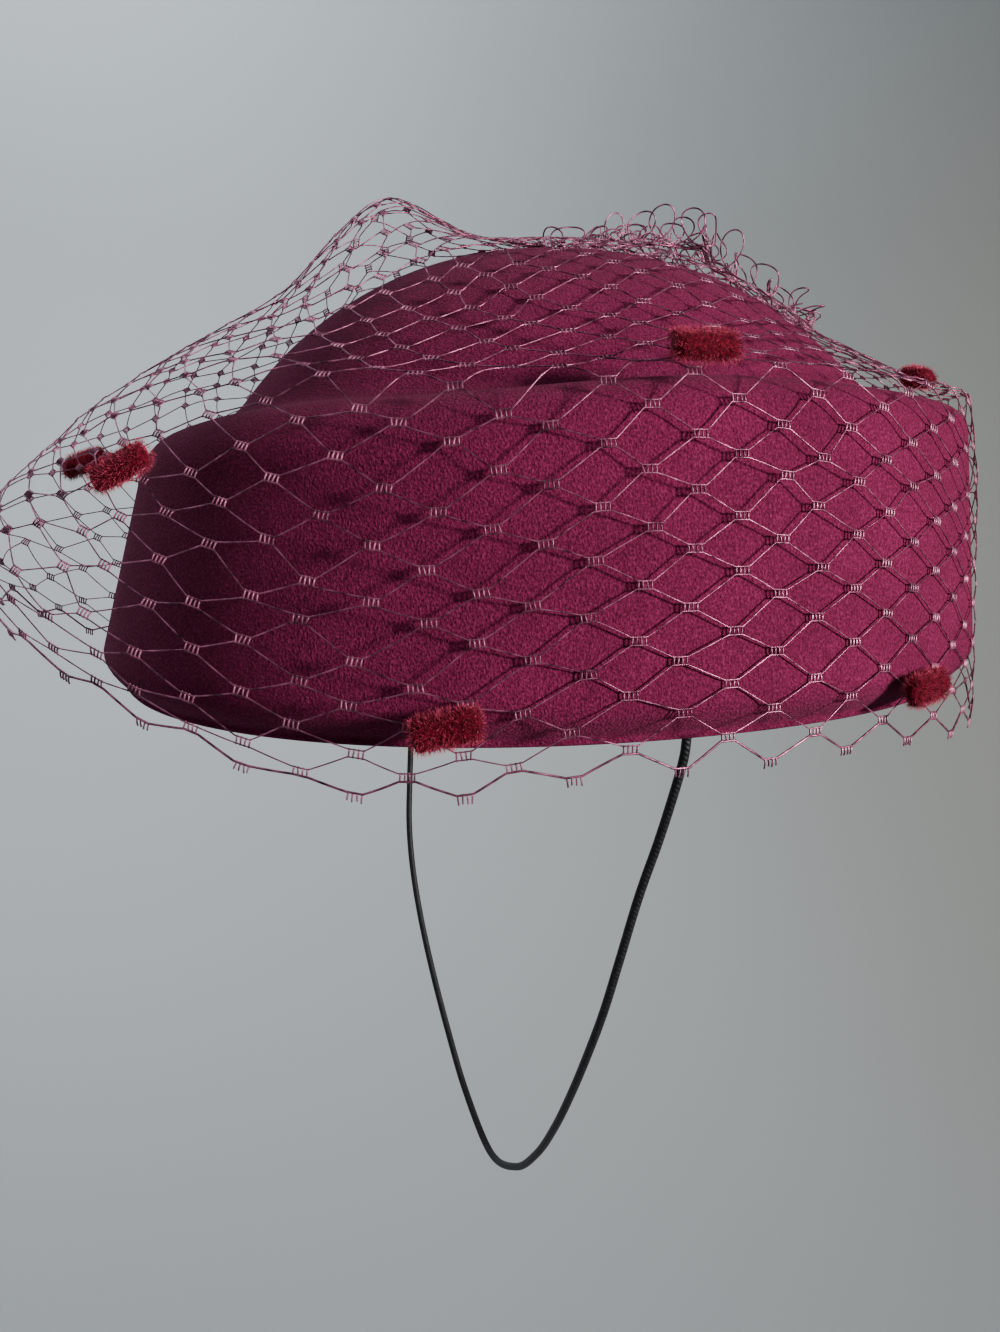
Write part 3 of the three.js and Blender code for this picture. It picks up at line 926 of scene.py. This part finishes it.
@dataclass
class VeilNet:
    """The net: zigzag threads one above another, bound together at their turns by short ticks."""

    surface: VeilForm
    cells: int = 36
    half_rows: int = 34
    turn: float = 2.2
    thread: float = 0.3 * MM
    edge_thread: float = 0.5 * MM
    loop_thread: float = 0.45 * MM
    tick_thread: float = 0.42 * MM
    flat: float = 1.55 * MM
    flat_limit: float = 0.3
    knot_gap: float = 0.75 * MM
    knot_gap_limit: float = 0.28
    ticks: int = 4
    tick_spread: float = 0.85
    tick_reach: float = 1.25
    tick_points: int = 4
    tick_bow: float = 0.186 * MM
    tick_sink: float = 0.1 * MM
    thread_sides: int = 5
    tick_sides: int = 3
    steps_between: int = 3
    unevenness: float = 0.35 * MM
    wander: float = 0.9 * MM
    front_looseness: float = 1.6
    front_stretch: float = 0.45
    stretch_angle: float = 18.0
    stretch_spread: float = 55.0
    loops: int = 17
    loop_reach: float = 6.4 * MM
    loop_steps: int = 40
    loop_foot: float = 5 * MM
    loop_height: float = 11 * MM
    loop_overlap: float = 0.012
    loop_sway: float = 1.4 * MM
    loop_twist: float = 0.6 * MM
    curls: tuple[Point, ...] = (
        (0.0, 1.0, 0.0), (2.4, 0.9, 1.0), (3.3, 0.75, 2.6), (4.1, 0.6, 4.6), (1.2, 0.35, 6.5),
    )

    def top(self, angle: Array) -> Array:
        """Share of the veil's height at which the lattice ends and the edge's loops begin.

        Args:
            angle: Angles in degrees.

        Returns:
            One less the loops' foot over the length of the veil's line at each angle.
        """
        lengths = self.surface.lengths
        place = np.mod(angle, 360.0) / 360.0 * len(lengths)
        return 1 - self.loop_foot / np.interp(place, np.arange(len(lengths)), lengths)

    def knots(self) -> dict[str, Array]:
        """Places of the knots and how wide and tall the net is there.

        Knots stand evenly round the hat and up it. In front the rows draw together towards the hem
        (less the stretch times even times one less even), and every knot strays by a slow wave and by
        chance, most in front.

        Returns:
            Angle, share, width of a degree and height of a whole share, each (rows, columns).
        """
        columns = 2 * self.cells
        random = np.random.default_rng(SEED)
        row = np.arange(self.half_rows + 1)[:, None]
        column = np.arange(columns) * 360.0 / columns
        angle = np.tile(column + self.turn, (self.half_rows + 1, 1))
        turn = (np.mod(angle - self.stretch_angle + 180, 360) - 180) / self.stretch_spread
        even = row / self.half_rows
        share = self.top(angle) * (even - self.front_stretch * np.exp(-(turn**2)) * even * (1 - even))
        side_step = 0.5
        rise_step = 0.004
        higher = np.minimum(share + rise_step, 1.0)
        lower = np.maximum(share - rise_step, 0.0)
        here, _ = self.surface.at(angle, share)
        beside, _ = self.surface.at(angle + side_step, share)
        above, _ = self.surface.at(angle, higher)
        below, _ = self.surface.at(angle, lower)
        width = np.linalg.norm(beside - here, axis=-1) / side_step
        tall = np.linalg.norm(above - below, axis=-1) / (higher - lower)
        loose = 1 + self.front_looseness * np.exp(-(turn**2))
        along = np.radians(angle)
        inside = np.sin(np.pi * even)
        sideways = self.wander * inside * np.sin(4 * along + 9 * even)
        upwards = self.wander * inside * np.cos(3 * along - 7 * even + 1)
        between = (row > 0) * (row < self.half_rows)
        sideways = sideways + random.normal(0, self.unevenness, angle.shape)
        upwards = upwards + random.normal(0, self.unevenness, angle.shape) * between
        angle = angle + loose * sideways / width
        share = share + loose * upwards / tall
        return {"angle": angle, "share": share, "width": width, "tall": tall}

    def threads(self, knots: dict[str, Array]) -> tuple[Array, Array]:
        """Centre lines of the zigzag threads, closed round the hat.

        A thread turns at the upper knots of one row and the lower knots of the next by turns, runs
        flat through each knot and straight from knot to knot.

        Args:
            knots: Angle, share, width and height of the net at its knots.

        Returns:
            Points and outward directions, shape (threads, steps, 3).
        """
        columns = 2 * self.cells
        thread = np.arange(self.half_rows)[:, None]
        column = np.arange(columns)[None, :]
        valley = (thread + column) % 2 == 0
        row = np.where(valley, thread, thread + 1)
        angle = knots["angle"][row, column]
        share = knots["share"][row, column]
        width = knots["width"][row, column]
        tall = knots["tall"][row, column]
        cell = 360.0 / columns
        flat = np.minimum(self.flat / width, self.flat_limit * cell)
        lift = np.minimum(self.knot_gap / tall, self.knot_gap_limit / self.half_rows)
        lift = lift * np.where(valley, 1, -1)
        share = share + lift
        next_angle = np.roll(angle, -1, 1)
        next_angle[:, -1] += 360.0
        next_flat = np.roll(flat, -1, 1)
        next_share = np.roll(share, -1, 1)
        start = angle + flat
        end = next_angle - next_flat
        mix = np.linspace(0, 1, self.steps_between + 2)[None, None, :]
        between_angle = start[..., None] + (end - start)[..., None] * mix
        between_share = share[..., None] + (next_share - share)[..., None] * mix
        path_angle = np.concatenate([angle[..., None], between_angle], -1).reshape(self.half_rows, -1)
        path_share = np.concatenate([share[..., None], between_share], -1).reshape(self.half_rows, -1)
        return self.surface.at(path_angle, path_share)

    def tick_lines(self, knots: dict[str, Array]) -> tuple[Array, Array]:
        """Centre lines of the ticks that bind two threads at each knot.

        Each tick stands across both threads in the knot's own frame, leans a little, and bows outwards
        by one less the fourth power of its climb. Ticks on the hem have loose tails.

        Args:
            knots: Angle, share, width and height of the net at its knots.

        Returns:
            Points and outward directions, shape (ticks, points, 3).
        """
        columns = 2 * self.cells
        number = np.add.outer(np.arange(self.half_rows + 1), np.arange(columns))
        row, column = np.nonzero(number % 2 == 0)
        names = ("angle", "share", "width", "tall")
        angle, share, width, tall = (knots[name][row, column] for name in names)
        centre, outward = self.surface.at(angle, share)
        side_step = 0.5
        beside, _ = self.surface.at(angle + side_step, share)
        side = unit(beside - centre)
        up = np.cross(outward, side)
        flat = np.minimum(self.flat, self.flat_limit * 360.0 / columns * width)[:, None, None]
        reach = np.minimum(self.knot_gap, self.knot_gap_limit / self.half_rows * tall)[:, None, None]
        across = np.linspace(-self.tick_spread, self.tick_spread, self.ticks)[None, :, None]
        climb = np.linspace(-self.tick_reach, self.tick_reach, self.tick_points)[None, None, :]
        random = np.random.default_rng(SEED + 1)
        lean = random.normal(0, 0.06, (len(row), self.ticks, 1))
        tail = random.uniform(0.8, 1.3, (len(row), self.ticks, 1))
        low = np.where((row == 0)[:, None, None] & (climb < 0), climb * tail, climb)
        bow = self.tick_bow * (1 - (climb / self.tick_reach) ** 4) - self.tick_sink
        points = centre[:, None, None] + side[:, None, None] * (flat * (across + lean * climb))[..., None]
        points = points + up[:, None, None] * (reach * low)[..., None]
        points = points + outward[:, None, None] * bow[..., None]
        directions = np.broadcast_to(outward[:, None, None], points.shape)
        return points.reshape(-1, self.tick_points, 3), directions.reshape(-1, self.tick_points, 3)

    def build(self, finish: NetThread, tick_finish: NetThread) -> list[Piece]:
        """Make the net's threads, the ticks that bind them and the loops on its frill.

        Args:
            finish: Finish of the threads and loops.
            tick_finish: Finish of the ticks, a lighter copy of the threads' finish that paints their glint.

        Returns:
            The three pieces, which all stand for the solid veil.
        """
        material = finish.material()
        knots = self.knots()
        pieces = [self.thread_piece(knots, material), self.tick_piece(knots, tick_finish.material())]
        pieces.append(self.loop_piece(material))
        for piece in pieces:
            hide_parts("veil_net")
            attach(piece, "root")
        return pieces

    def thread_piece(self, knots: dict[str, Array], material: Material) -> Piece:
        """Make the zigzag threads, thicker at the hem.

        Args:
            knots: Angle, share, width and height of the net at its knots.
            material: Finish of the threads.

        Returns:
            The piece of all the threads.
        """
        path, outward = self.threads(knots)
        rows, steps = path.shape[:2]
        radius = np.full((rows, steps), self.thread / 2)
        radius[0] = self.edge_thread / 2
        points = tube_points(path, outward, radius, self.thread_sides, True)
        one = grid_faces(steps, self.thread_sides, closed_rows=True, closed_columns=True)
        faces = repeated(one, rows, steps * self.thread_sides)
        return new_piece("veil_threads", points, [faces], material)

    def loop_piece(self, material: Material) -> Piece:
        """Make the curls of the net's edge: threads that run round the frill and loop as they go.

        A loop's turn carries the thread to and fro along the edge (reach times the turn's sine) and
        up and down (half its height times one less the cosine), while it moves on by one pitch. The
        inner threads are lower and lean over the gather, so that they close it.

        Args:
            material: Finish of the threads.

        Returns:
            The piece of all the threads.
        """
        angle = np.linspace(0, 360, 721)
        ring, _ = self.surface.at(angle, self.top(angle))
        run = np.concatenate([[0], np.cumsum(np.linalg.norm(np.diff(ring, axis=0), axis=1))])
        steps = self.loops * self.loop_steps
        whole = np.linspace(0, 2 * np.pi, steps, endpoint=False)[None, :]
        phase, share, lean = (np.array(column)[:, None] for column in zip(*self.curls))
        turn = self.loops * whole + phase
        uneven = 1 + 0.12 * np.sin(7 * whole + phase) + 0.1 * np.sin(11 * whole + 1.3 * phase)
        along = whole / (2 * np.pi) * run[-1] + self.loop_reach * uneven * np.sin(turn)
        place = np.interp(np.mod(along, run[-1]), run, angle)
        foot, outward = self.surface.at(place, self.top(place) - self.loop_overlap)
        tip, _ = self.surface.at(place, np.ones_like(place))
        behind = 0.5 + 0.5 * self.surface.behind(place)
        raised = 0.5 - 0.5 * np.cos(turn)
        rise = self.loop_height * behind * share * uneven[:, ::-1] * raised
        sway = self.loop_sway * np.sin(9 * whole + 3 * phase) * raised + self.loop_twist * np.sin(turn)
        sway = sway - lean * MM * (0.35 + 0.65 * raised)
        path = foot + unit(tip - foot) * rise[..., None] + outward * sway[..., None]
        radius = np.full(path.shape[:2], self.loop_thread / 2)
        points = tube_points(path, outward, radius, self.thread_sides, True)
        one = grid_faces(steps, self.thread_sides, closed_rows=True, closed_columns=True)
        faces = repeated(one, len(self.curls), steps * self.thread_sides)
        return new_piece("frill_loops", points, [faces], material)

    def tick_piece(self, knots: dict[str, Array], material: Material) -> Piece:
        """Make the ticks as short three-sided threads with closed ends.

        Args:
            knots: Angle, share, width and height of the net at its knots.
            material: Finish of the ticks.

        Returns:
            The piece of all the ticks.
        """
        lines, outward = self.tick_lines(knots)
        count, steps = lines.shape[:2]
        radius = np.full((count, steps), self.tick_thread / 2)
        sides = self.tick_sides
        points = tube_points(lines, outward, radius, sides, False)
        first = np.array([[2, 1, 0]])
        last = np.array([[0, 1, 2]]) + (steps - 1) * sides
        blocks = [grid_faces(steps, sides, closed_columns=True), first, last]
        faces = [repeated(block, count, steps * sides) for block in blocks]
        return new_piece("veil_ticks", points, faces, material)


@dataclass
class ChenilleDots:
    """The velvety dots: short rolls of cut pile that sit on the net."""

    around: int = 28
    rings: int = 18
    pile: int = 2200
    pile_length: float = 1.5 * MM
    pile_width: float = 0.09 * MM
    seat: float = 1.2 * MM
    pile_depth: Point = (0.35 * MM, 0.45 * MM, 0.35 * MM)
    middle_height: float = 30 * MM
    bluntness: float = 9.0

    def blunt(self, place: Array) -> Array:
        """Thickness of a roll with blunt ends: one less a high power of the place, to the 0.35."""
        return (1 - np.abs(place) ** self.bluntness) ** 0.35

    def frame_of(self, node: str) -> tuple[Array, Array, Array]:
        """Centre, half sizes and own directions of a dot, pressed a little onto the net, longest first.

        Args:
            node: Name of the dot's node.

        Returns:
            Centre, half sizes and a matrix with one direction in each row.
        """
        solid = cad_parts[node]
        count = len(solid.data.vertices)
        points = np.empty(count * 3)
        solid.data.vertices.foreach_get("co", points)
        points = points.reshape(-1, 3)
        points = np.unique(np.round(points, 7), axis=0)
        centre = (points.max(0) + points.min(0)) / 2
        axes = np.linalg.svd(points - points.mean(0), full_matrices=False)[2]
        local = (points - centre) @ axes.T
        half = (local.max(0) - local.min(0)) / 2
        centre = centre + ((local.max(0) + local.min(0)) / 2) @ axes
        middle = np.array([0.0, 0.0, self.middle_height])
        inward = -axes[2] * np.sign(axes[2] @ (centre - middle))
        return centre + inward * self.seat, half, axes

    def build(self, nodes: list[str], finish: ChenillePile) -> list[Piece]:
        """Make every dot and its pile and dress them.

        Args:
            nodes: Names of the dots' nodes.
            finish: Finish of the pile.

        Returns:
            The dots, in the order of their nodes.
        """
        material = finish.material()
        random = np.random.default_rng(SEED + 2)
        return [self.dot(node, random, material) for node in nodes]

    def dot(self, node: str, random: np.random.Generator, material: Material) -> Piece:
        """Make one dot: a blunt roll whose surface is stepped by tufts, with cut fibres on it.

        The roll's section is an ellipse whose size follows the blunt ends, a slight waist and chance.
        Each fibre is a thin triangle that stands out from the roll, leaning outwards at its ends.

        Args:
            node: Name of the dot's node.
            random: Source of chance.
            material: Finish of the pile.

        Returns:
            The dot.
        """
        centre, half, axes = self.frame_of(node)
        core = half - np.array(self.pile_depth)
        turn = 2 * np.pi * np.arange(self.around) / self.around
        place = np.linspace(-1, 1, self.rings)
        waist = 1 + 0.05 * np.sin(place * 3.1 + random.uniform(0, 6))
        tuft = random.normal(0, 0.05, (self.rings, self.around))
        radial = (self.blunt(place) * waist)[:, None] * (1 + tuft)
        long_way = np.repeat((place * core[0])[:, None], self.around, 1)
        roll = np.stack([long_way, radial * np.cos(turn) * core[1], radial * np.sin(turn) * core[2]], -1)
        ends = np.array([[-core[0], 0, 0], [core[0], 0, 0]])
        body = np.concatenate([roll.reshape(-1, 3), ends])
        spin = random.uniform(0, 2 * np.pi, self.pile)
        along = random.uniform(-1, 1, self.pile)
        size = self.blunt(along)
        root = np.stack([along * core[0], size * np.cos(spin) * core[1], size * np.sin(spin) * core[2]], -1)
        lean = np.sign(along) * np.abs(along) ** 4 * 1.2
        way = np.stack([lean, np.cos(spin), np.sin(spin)], -1) + random.normal(0, 0.28, (self.pile, 3))
        way = unit(way)
        side = unit(np.cross(way, random.normal(0, 1, (self.pile, 3)))) * self.pile_width / 2
        length = self.pile_length * random.uniform(0.5, 1.05, (self.pile, 1))
        fibres = np.stack([root - side, root + side, root + way * length], 1).reshape(-1, 3)
        base = len(body)
        fibre_faces = base + np.arange(self.pile * 3).reshape(-1, 3)
        points = centre + np.concatenate([body, fibres]) @ axes
        quads = grid_faces(self.rings, self.around, closed_columns=True)
        faces = [quads, *end_fans(self.rings, self.around)]
        if np.linalg.det(axes) < 0:
            faces = [block[:, ::-1] for block in faces]
        name = node.replace("veil_dot", "chenille")
        piece = new_piece(name, points, [*faces, fibre_faces], material)
        # mark the tip of each fibre, where the pile's material paints its highlight
        tip_share = np.zeros(len(points), np.float32)
        tip_share[base + 2 :: 3] = 1.0
        piece.data.attributes.new("tip", "FLOAT", "POINT").data.foreach_set("value", tip_share)
        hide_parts(node)
        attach(piece, "root")
        return piece


@dataclass
class ChinElastic:
    """The round elastic from knot to knot under the chin."""

    diameter: float = 2 * MM
    sides: int = 16
    steps: int = 420
    knot_size: float = 5 * MM
    strand: float = 1.24 * MM
    strand_sides: int = 10
    strand_steps: int = 120
    route_steps: int = 24
    declared_step: int = 12
    route: tuple[Point, ...] = (
        (94.0, -7.0, 6.6), (92.0, -7.0, 3.6), (90.4, -7.1, 0.2), (89.8, -7.4, -5.0), (88.0, -8.2, -12.2),
        (84.0, -9.3, -24.0), (80.0, -11.5, -37.5), (76.0, -13.6, -53.0), (72.0, -15.3, -67.0),
        (66.0, -16.2, -80.5), (58.0, -16.3, -94.6), (48.0, -15.8, -109.3), (35.5, -15.0, -124.5),
        (20.0, -14.4, -138.5), (0.0, -14.0, -147.0),
    )

    def centre_line(self) -> Array:
        """Even points on the smooth curve through the route and its mirror image.

        Between two points the curve is the cubic whose slope at each is half the step from the point
        before to the point after.

        Returns:
            Points from the left knot under the chin to the right knot.
        """
        left = np.array(self.route) * MM
        right = left[-2::-1] * np.array([-1, 1, 1])
        knots = np.concatenate([left, right])
        padded = np.concatenate([[2 * knots[0] - knots[1]], knots, [2 * knots[-1] - knots[-2]]])
        before, start, end, after = padded[:-3], padded[1:-2], padded[2:-1], padded[3:]
        mix = np.linspace(0, 1, self.route_steps, endpoint=False)[None, :, None]
        before, start, end, after = (part[:, None] for part in (before, start, end, after))
        curve = start + 0.5 * mix * (
            end - before
            + mix * (2 * before - 5 * start + 4 * end - after + mix * (3 * (start - end) + after - before))
        )
        curve = np.concatenate([curve.reshape(-1, 3), knots[-1:]])
        run = np.concatenate([[0], np.cumsum(np.linalg.norm(np.diff(curve, axis=0), axis=1))])
        even = np.linspace(0, run[-1], self.steps)
        return np.stack([np.interp(even, run, curve[:, k]) for k in range(3)], -1)

    def build(self, finish: BraidedElastic) -> list[Piece]:
        """Make the elastic and its two knots and dress them.

        Args:
            finish: Finish of the elastic.

        Returns:
            The cord and the two knots.
        """
        material = finish.material()
        path = self.centre_line()
        forward = np.tile(np.array([0.0, -1.0, 0.05]), (self.steps, 1))
        rings = tube_points(path, forward, np.full(self.steps, self.diameter / 2), self.sides, False)
        points = np.concatenate([rings.reshape(-1, 3), path[:1], path[-1:]])
        quads = grid_faces(self.steps, self.sides, closed_columns=True)
        faces = [quads, *end_fans(self.steps, self.sides)]
        piece = new_piece("elastic_cord", points, faces, material)
        length = float(np.linalg.norm(np.diff(path, axis=0), axis=1).sum())
        self.wrap(piece, length)
        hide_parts("chin_elastic")
        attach(piece, "root")
        return [piece] + [self.knot(side, material) for side in Side]

    def wrap(self, piece: Piece, length: float) -> None:
        """Give the cord a map that counts turns of its braid along and around it.

        Args:
            piece: The cord.
            length: Its length in metres.
        """
        layer = piece.data.uv_layers.new(name="braid")
        loops = np.empty(len(piece.data.loops), int)
        piece.data.loops.foreach_get("vertex_index", loops)
        ring = np.minimum(loops // self.sides, self.steps - 1)
        along = ring / self.steps * length / self.diameter
        turn = (loops % self.sides) / self.sides
        layer.data.foreach_set("uv", np.stack([turn * 2, along * 1.2], -1).astype(np.float32).ravel())

    def knot(self, side: Side, material: Material) -> Piece:
        """Make one knot: a trefoil of the cord, drawn up tight, where the solid knot lies.

        The trefoil is the sine plus twice the sine of two turns, the cosine less twice the cosine of
        two turns, and less the sine of three.

        Args:
            side: Side of the hat.
            material: Finish of the elastic.

        Returns:
            The knot.
        """
        node = f"elastic_knot_{side.name.lower()}"
        low, high = (np.array(corner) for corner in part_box(node))
        centre = (low + high) / 2
        turn = np.linspace(0, 2 * np.pi, self.strand_steps, endpoint=False)
        x = np.sin(turn) + 2 * np.sin(2 * turn)
        y = np.cos(turn) - 2 * np.cos(2 * turn)
        z = -np.sin(3 * turn)
        loose = np.stack([z * 0.75, x * 0.42, y * 0.42], -1)
        radius = self.strand / 2
        reach = (self.knot_size / 2 - radius) / np.abs(loose).max(0)
        path = centre + loose * reach
        outward = unit(loose + 1e-6)
        rings = tube_points(path, outward, np.full(len(path), radius), self.strand_sides, True)
        faces = grid_faces(len(path), self.strand_sides, closed_rows=True, closed_columns=True)
        piece = new_piece(f"knot_{side.name.lower()}", rings.reshape(-1, 3), [faces], material)
        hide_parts(node)
        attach(piece, "root")
        return piece


@dataclass
class Studio:
    """Camera, pale paper for floor and wall, and soft light."""

    distance: float = 0.2963
    eye_height: float = 0.0503
    azimuth: float = 66.0
    pitch: float = 9.91
    yaw: float = -1.91
    roll: float = -0.18
    lens: float = 29.24
    floor: float = -0.42
    wall_distance: float = 1.0
    wall_height: float = 14.0
    cove: float = 0.75
    cove_steps: int = 24
    floor_steps: int = 12
    paper_reach: float = 30.0

    def camera(self) -> None:
        """Place the camera: behind the eye point, turned by yaw, pitch and roll."""
        turn = math.radians(self.azimuth)
        back = Vector((math.sin(turn), -math.cos(turn), 0.0))
        right = Vector((math.cos(turn), math.sin(turn), 0.0))
        yaw, pitch, roll = (math.radians(part) for part in (self.yaw, self.pitch, self.roll))
        level = -back * math.cos(yaw) + right * math.sin(yaw)
        side = level.cross(Vector((0, 0, 1)))
        ahead = level * math.cos(pitch) - Vector((0, 0, 1)) * math.sin(pitch)
        up = side.cross(ahead)
        side, up = side * math.cos(roll) + up * math.sin(roll), up * math.cos(roll) - side * math.sin(roll)
        data = bpy.data.cameras.new("camera")
        data.lens = self.lens
        data.sensor_width = 36.0
        data.clip_start = 0.01
        camera = bpy.data.objects.new("camera", data)
        place = back * self.distance + Vector((0, 0, self.eye_height))
        camera.matrix_world = Matrix.Translation(place) @ Matrix((side, up, -ahead)).transposed().to_4x4()
        bpy.context.scene.collection.objects.link(camera)
        bpy.context.scene.camera = camera

    def backdrop(self, finish: StudioPaper) -> None:
        """Make the paper: a floor that curves up in a quarter circle into a wall behind the hat.

        Args:
            finish: Finish of the paper.
        """
        turn = math.radians(self.azimuth)
        back = np.array([math.sin(turn), -math.cos(turn), 0.0])
        right = np.array([math.cos(turn), math.sin(turn), 0.0])
        arc = np.linspace(0, np.pi / 2, self.cove_steps)[1:]
        foot = -(self.wall_distance - self.cove)
        floor_line = np.linspace(self.paper_reach, foot, self.floor_steps)
        run = np.concatenate([floor_line, foot - self.cove * np.sin(arc), [-self.wall_distance]])
        flat = np.zeros(self.floor_steps)
        rise = np.concatenate([flat, self.cove * (1 - np.cos(arc)), [self.wall_height]]) + self.floor
        across = np.linspace(-self.paper_reach, self.paper_reach, 7)
        points = run[:, None, None] * back + across[None, :, None] * right
        points = points + rise[:, None, None] * np.array([0, 0, 1.0])
        faces = grid_faces(len(run), len(across))[:, ::-1]
        paper = new_piece("backdrop", points, [faces], finish.material())

    def place(self, spot: Point) -> Vector:
        """Point given from the hat's origin.

        Args:
            spot: Metres to the camera's right, towards the camera and up.

        Returns:
            The point in the hat's own frame.
        """
        turn = math.radians(self.azimuth)
        back = Vector((math.sin(turn), -math.cos(turn), 0.0))
        right = Vector((math.cos(turn), math.sin(turn), 0.0))
        return right * spot[0] + back * spot[1] + Vector((0, 0, spot[2]))

    def area(
        self, name: str, spot: Point, aim: Point, size: float, power: float, tone: Rgb, spread: float
    ) -> None:
        """Add a soft area light.

        Args:
            name: Name of the light.
            spot: Where it stands: right of the camera's line, towards the camera and up, in metres.
            aim: Where it points, in the same way.
            size: Width of the light.
            power: Power in watts.
            tone: Colour of the light.
            spread: Width of its beam in degrees.
        """
        data = bpy.data.lights.new(name, "AREA")
        data.shape = "DISK"
        data.size = size
        data.energy = power
        data.color = tone
        data.spread = math.radians(spread)
        light = bpy.data.objects.new(name, data)
        way = self.place(aim) - self.place(spot)
        turned = way.to_track_quat("-Z", "Y").to_matrix().to_4x4()
        light.matrix_world = Matrix.Translation(self.place(spot)) @ turned
        bpy.context.scene.collection.objects.link(light)

    def lights(self) -> None:
        """Set the key from the right, weak lights from left and behind, the wall's two and the room."""
        hat = (0.0, 0.0, 0.05)
        self.area("key", (1.3, 0.92, 0.34), hat, 0.28, 3.1, (1.0, 0.97, 0.94), 50.0)
        self.area("fill", (-0.9, 0.5, 0.3), hat, 0.9, 0.25, (0.9, 0.95, 1.0), 90.0)
        self.area("back", (-1.0, -0.6, 0.6), hat, 0.5, 0.3, (0.93, 0.97, 1.0), 60.0)
        high, low = (-0.5, -1.0, 0.35), (0.5, -1.0, -0.3)
        self.area("wall_wash", (-0.5, -0.3, 1.2), high, 0.8, 11.0, (0.86, 0.95, 1.0), 130.0)
        self.area("wall_warm", (0.8, -0.2, 0.2), low, 0.8, 1.0, (1.0, 0.8, 0.5), 130.0)
        world = bpy.data.worlds.new("room")
        world.use_nodes = True
        world.node_tree.nodes["Background"].inputs["Color"].default_value = (0.55, 0.6, 0.66, 1.0)
        world.node_tree.nodes["Background"].inputs["Strength"].default_value = 0.16
        bpy.context.scene.world = world


def main() -> None:
    """Build the studio and every piece of the hat, in order, and note the sizes."""
    logging.basicConfig(level=logging.INFO, format="%(name)s: %(message)s")
    studio = Studio()
    studio.camera()
    studio.backdrop(StudioPaper())
    studio.lights()
    form = HatForm()
    pieces = ChinElastic().build(BraidedElastic())
    pieces.append(FeltBody(form).build(WoolFelt()))
    # painted highlight: the ticks get a lighter copy of the thread's finish, standing for the glint of the
    # knots
    ticks = NetThread(name="net_tick_painted_glint", dark=(0.14, 0.04, 0.075), light=(0.66, 0.25, 0.39), lustre=0.4)
    pieces += VeilNet(VeilForm(form)).build(NetThread(), ticks)
    dots = sorted(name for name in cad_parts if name.startswith("veil_dot"))
    pieces += ChenilleDots().build(dots, ChenillePile())
    for piece in pieces:
        LOG.info("%s: %d faces", piece.name, len(piece.data.polygons))
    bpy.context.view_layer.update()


if __name__ == "__main__":
    main()
